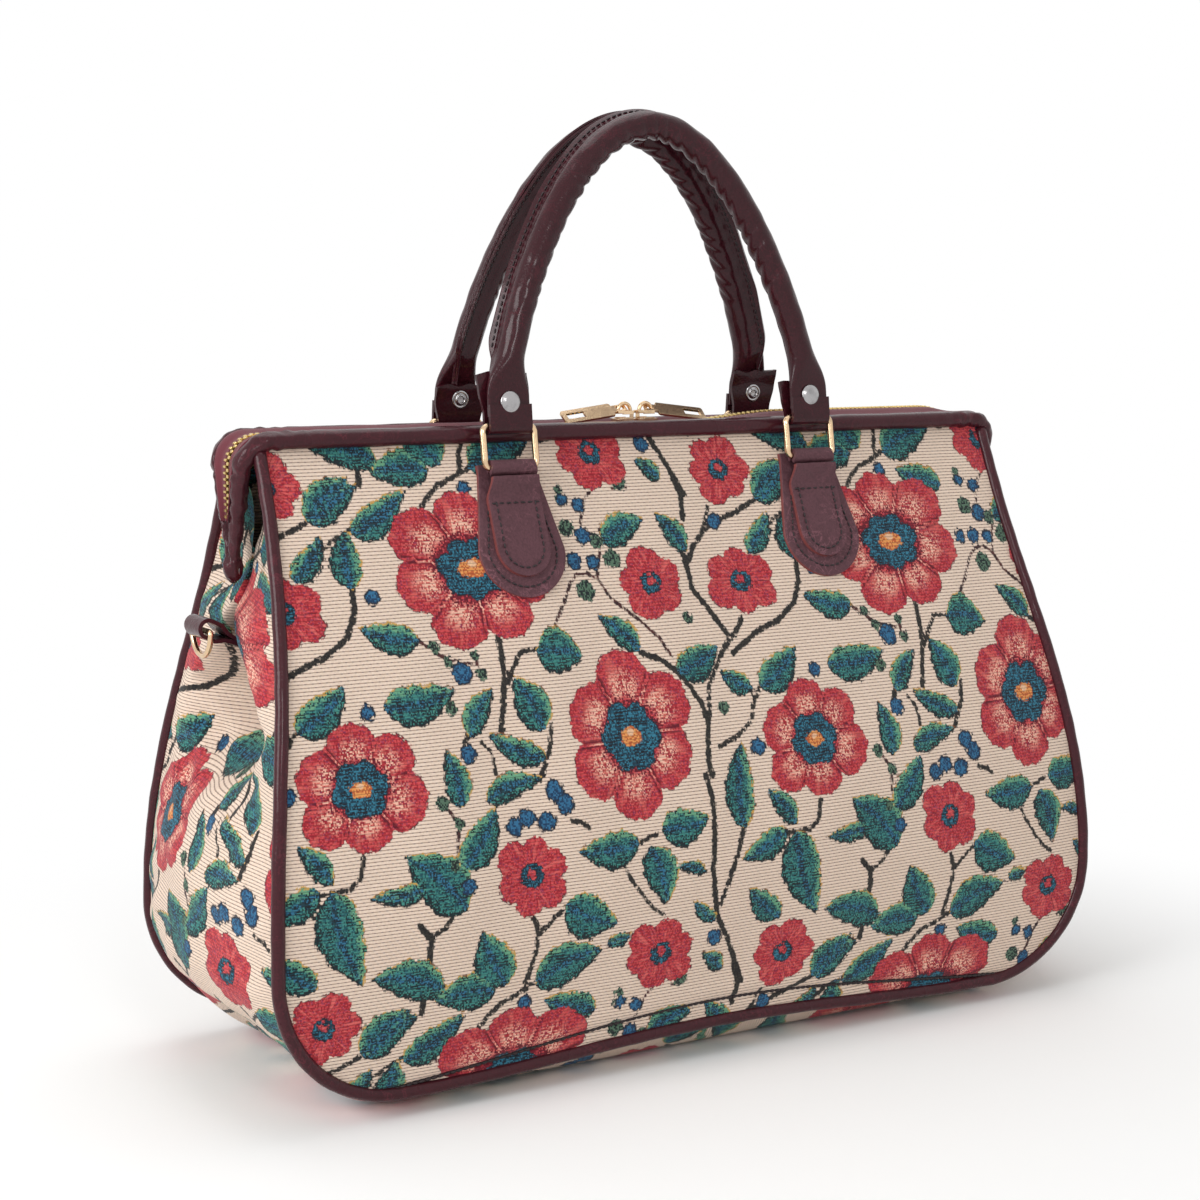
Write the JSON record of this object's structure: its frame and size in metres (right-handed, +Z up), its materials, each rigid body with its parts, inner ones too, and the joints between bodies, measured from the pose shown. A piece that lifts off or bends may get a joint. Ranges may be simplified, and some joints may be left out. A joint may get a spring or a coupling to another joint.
{
  "type": "tapestry handbag",
  "caption": "Soft tapestry handbag with piped panels on a hinged wire frame, a zipped mouth with sliders, and gathered leather handles on rings.",
  "frame": {"origin": "under the middle of the base, on the surface that the bag stands on", "axes": "+X to the right seen from the front, +Y from the front panel to the back panel, +Z up"},
  "size_m": [0.4504, 0.1636, 0.4191],
  "materials": {
    "tapestry": "ribbed jacquard cloth with a floral pattern",
    "leather": "glossy burgundy-brown leather",
    "patch_leather": "dark burgundy leather with dark stitching",
    "zip_tape": "woven tape",
    "gold": "polished pale gold plate",
    "silver": "polished",
    "board": "stiffening board"
  },
  "bodies": {
    "bag": {"front_panel": "tapestry", "back_panel": "tapestry", "gusset_strip": "tapestry", "base_board": "board", "front_piping": "leather", "back_piping": "leather", "front_rail_cover": "leather", "back_rail_cover": "leather", "front_frame_wire": "silver", "back_frame_wire": "silver", "frame_hinge_pins": "silver", "front_zip_tape": "zip_tape", "back_zip_tape": "zip_tape", "front_zip_teeth": "gold", "back_zip_teeth": "gold", "front_left_patch": "patch_leather", "front_right_patch": "patch_leather", "back_left_patch": "patch_leather", "back_right_patch": "patch_leather", "front_left_patch_strap": "leather", "front_right_patch_strap": "leather", "back_left_patch_strap": "leather", "back_right_patch_strap": "leather", "left_side_tab": "patch_leather", "right_side_tab": "patch_leather"},
    "front_rings": {"front_left_ring": "gold", "front_right_ring": "gold"},
    "back_rings": {"back_left_ring": "gold", "back_right_ring": "gold"},
    "front_handle": {"front_handle": "leather", "front_handle_rivets": "silver"},
    "back_handle": {"back_handle": "leather", "back_handle_rivets": "silver"},
    "left_slider": {"left_slider": "gold"},
    "right_slider": {"right_slider": "gold"},
    "left_puller": {"left_puller": "gold"},
    "right_puller": {"right_puller": "gold"},
    "left_d_ring": {"left_d_ring": "gold"},
    "right_d_ring": {"right_d_ring": "gold"}
  },
  "joints": [
    {"name": "front_rings_swing", "type": "hinge", "parent": "bag", "child": "front_rings", "pos_m": [0, -0.02785, 0.262], "axis": [1, 0, 0], "range_deg": [0, 90]},
    {"name": "front_handle_swing", "type": "hinge", "parent": "front_rings", "child": "front_handle", "pos_m": [0, -0.025, 0.28], "axis": [1, 0, 0], "range_deg": [0, 75]},
    {"name": "back_rings_swing", "type": "hinge", "parent": "bag", "child": "back_rings", "pos_m": [0, 0.02785, 0.262], "axis": [-1, 0, 0], "range_deg": [0, 90]},
    {"name": "back_handle_swing", "type": "hinge", "parent": "back_rings", "child": "back_handle", "pos_m": [0, 0.025, 0.28], "axis": [-1, 0, 0], "range_deg": [0, 75]},
    {"name": "left_slider_travel", "type": "slide", "parent": "bag", "child": "left_slider", "axis": [-1, 0, 0], "range_m": [0, 0.15]},
    {"name": "left_puller_flip", "type": "hinge", "parent": "left_slider", "child": "left_puller", "pos_m": [-0.0056, 0, 0.285], "axis": [0, 1, 0], "range_deg": [0, 90]},
    {"name": "left_d_ring_swing", "type": "hinge", "parent": "bag", "child": "left_d_ring", "pos_m": [-0.2106, 0, 0.19767], "axis": [0, 1, 0], "range_deg": [-15, 90]},
    {"name": "right_slider_travel", "type": "slide", "parent": "bag", "child": "right_slider", "axis": [1, 0, 0], "range_m": [0, 0.15]},
    {"name": "right_puller_flip", "type": "hinge", "parent": "right_slider", "child": "right_puller", "pos_m": [0.0056, 0, 0.285], "axis": [0, -1, 0], "range_deg": [0, 90]},
    {"name": "right_d_ring_swing", "type": "hinge", "parent": "bag", "child": "right_d_ring", "pos_m": [0.2106, 0, 0.19767], "axis": [0, -1, 0], "range_deg": [-15, 90]}
  ]
}
